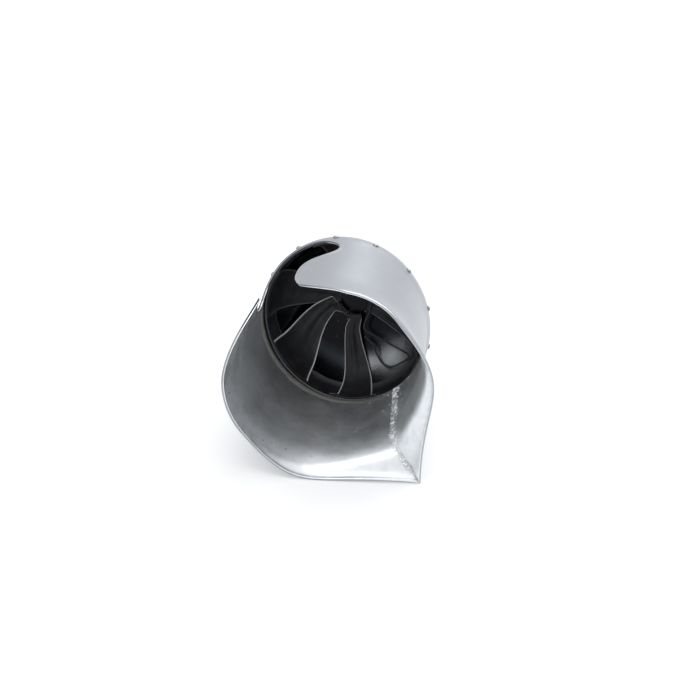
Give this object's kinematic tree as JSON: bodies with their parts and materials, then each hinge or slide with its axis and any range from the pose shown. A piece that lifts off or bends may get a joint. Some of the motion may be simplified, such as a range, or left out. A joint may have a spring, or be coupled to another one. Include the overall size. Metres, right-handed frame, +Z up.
{
  "type": "barbute helmet",
  "caption": "Steel barbute with an open face, rounded eye slots and a flared keeled tail, with a riveted leather lining gathered by a lace, lying on its back and side.",
  "frame": {"origin": "on the floor, under the middle of the bounding box of the shell and lining as they lie", "axes": "+Z up from the floor it lies on; +Y from the neck opening towards the crown; +X towards the side that the tail's tip points to"},
  "size_m": [0.248, 0.2953, 0.2472],
  "materials": {
    "satin_steel": "satin",
    "rivet_steel": "satin",
    "black_leather": "matte",
    "black_cord": "matte"
  },
  "bodies": {
    "root": {"shell": "satin_steel", "rivet_01": "rivet_steel", "rivet_02": "rivet_steel", "rivet_03": "rivet_steel", "rivet_04": "rivet_steel", "rivet_05": "rivet_steel", "rivet_06": "rivet_steel", "rivet_07": "rivet_steel", "rivet_08": "rivet_steel", "rivet_09": "rivet_steel", "rivet_10": "rivet_steel", "rivet_11": "rivet_steel", "rivet_12": "rivet_steel", "rivet_13": "rivet_steel", "lining_band": "black_leather", "lining_tongue_1": "black_leather", "lining_tongue_2": "black_leather", "lining_tongue_3": "black_leather", "lining_tongue_4": "black_leather", "lining_tongue_5": "black_leather", "lining_tongue_6": "black_leather", "lace": "black_cord"}
  },
  "joints": []
}
